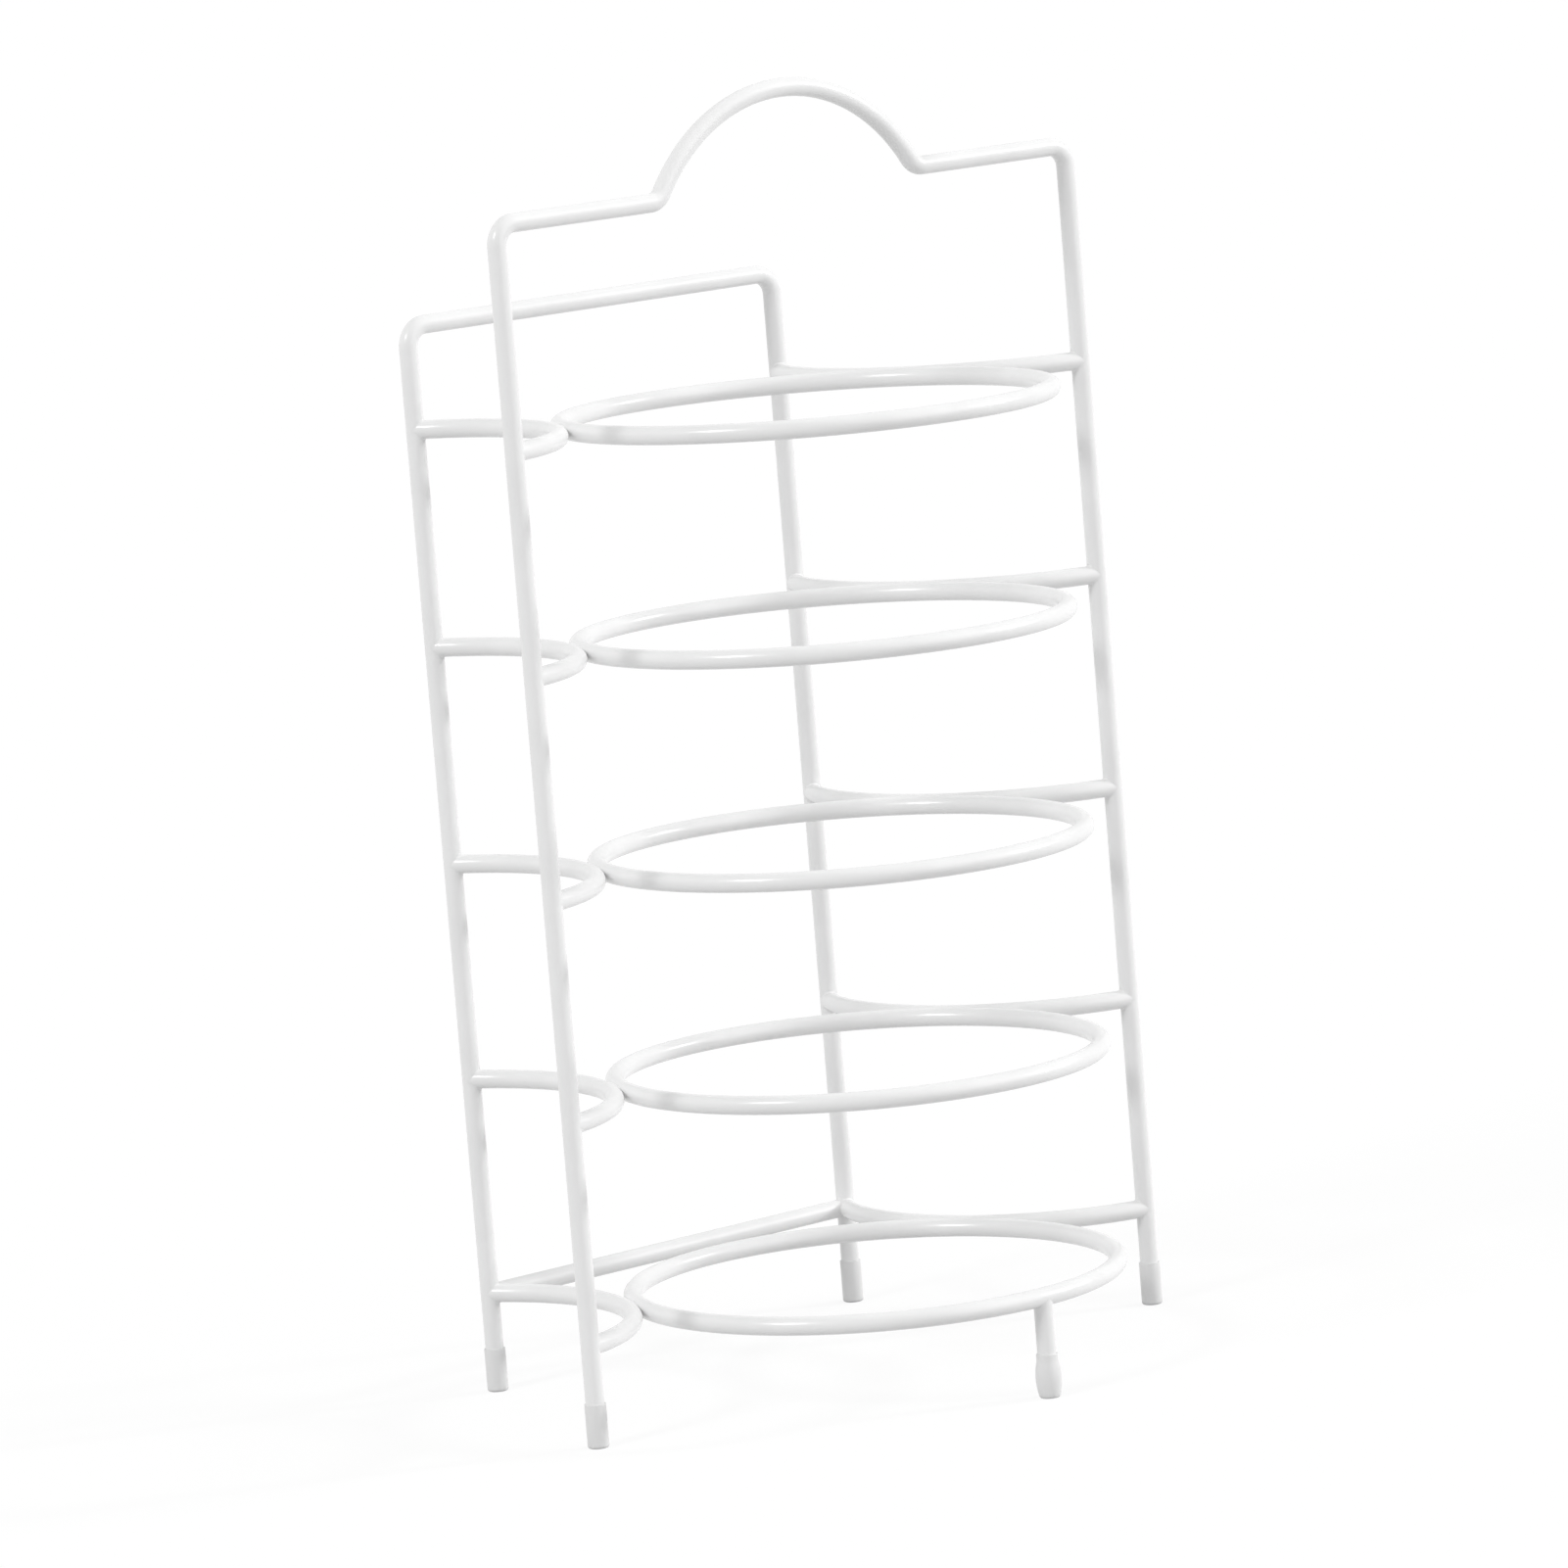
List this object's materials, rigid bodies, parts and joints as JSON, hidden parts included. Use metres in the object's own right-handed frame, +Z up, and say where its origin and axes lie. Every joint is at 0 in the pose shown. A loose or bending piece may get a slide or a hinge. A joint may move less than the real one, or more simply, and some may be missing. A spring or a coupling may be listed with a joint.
{
  "type": "plate rack",
  "caption": "Free-standing tiered plate rack of white coated wire: flat rings between a tall arched handle frame and a lower rear frame, on capped feet.",
  "frame": {"origin": "on the floor, under the middle of the rack's outline", "axes": "+Z up, X along the tall handle frame, -Y the open front where plates go in and the fifth foot stands, +Y the low rear frame"},
  "size_m": [0.2478, 0.1848, 0.4153],
  "materials": {
    "coated_wire": "smooth glossy white coating over steel wire",
    "foot_cap": "soft light grey vinyl, satin"
  },
  "bodies": {
    "root": {"handle_frame": "coated_wire", "rear_frame": "coated_wire", "plate_ring_1": "coated_wire", "left_arm_1": "coated_wire", "right_arm_1": "coated_wire", "plate_ring_2": "coated_wire", "left_arm_2": "coated_wire", "right_arm_2": "coated_wire", "plate_ring_3": "coated_wire", "left_arm_3": "coated_wire", "right_arm_3": "coated_wire", "plate_ring_4": "coated_wire", "left_arm_4": "coated_wire", "right_arm_4": "coated_wire", "plate_ring_5": "coated_wire", "left_arm_5": "coated_wire", "right_arm_5": "coated_wire", "rear_stretcher": "coated_wire", "front_leg": "coated_wire", "front_leg_cap": "foot_cap", "handle_leg_cap_left": "foot_cap", "handle_leg_cap_right": "foot_cap", "rear_leg_cap_left": "foot_cap", "rear_leg_cap_right": "foot_cap"}
  },
  "joints": []
}
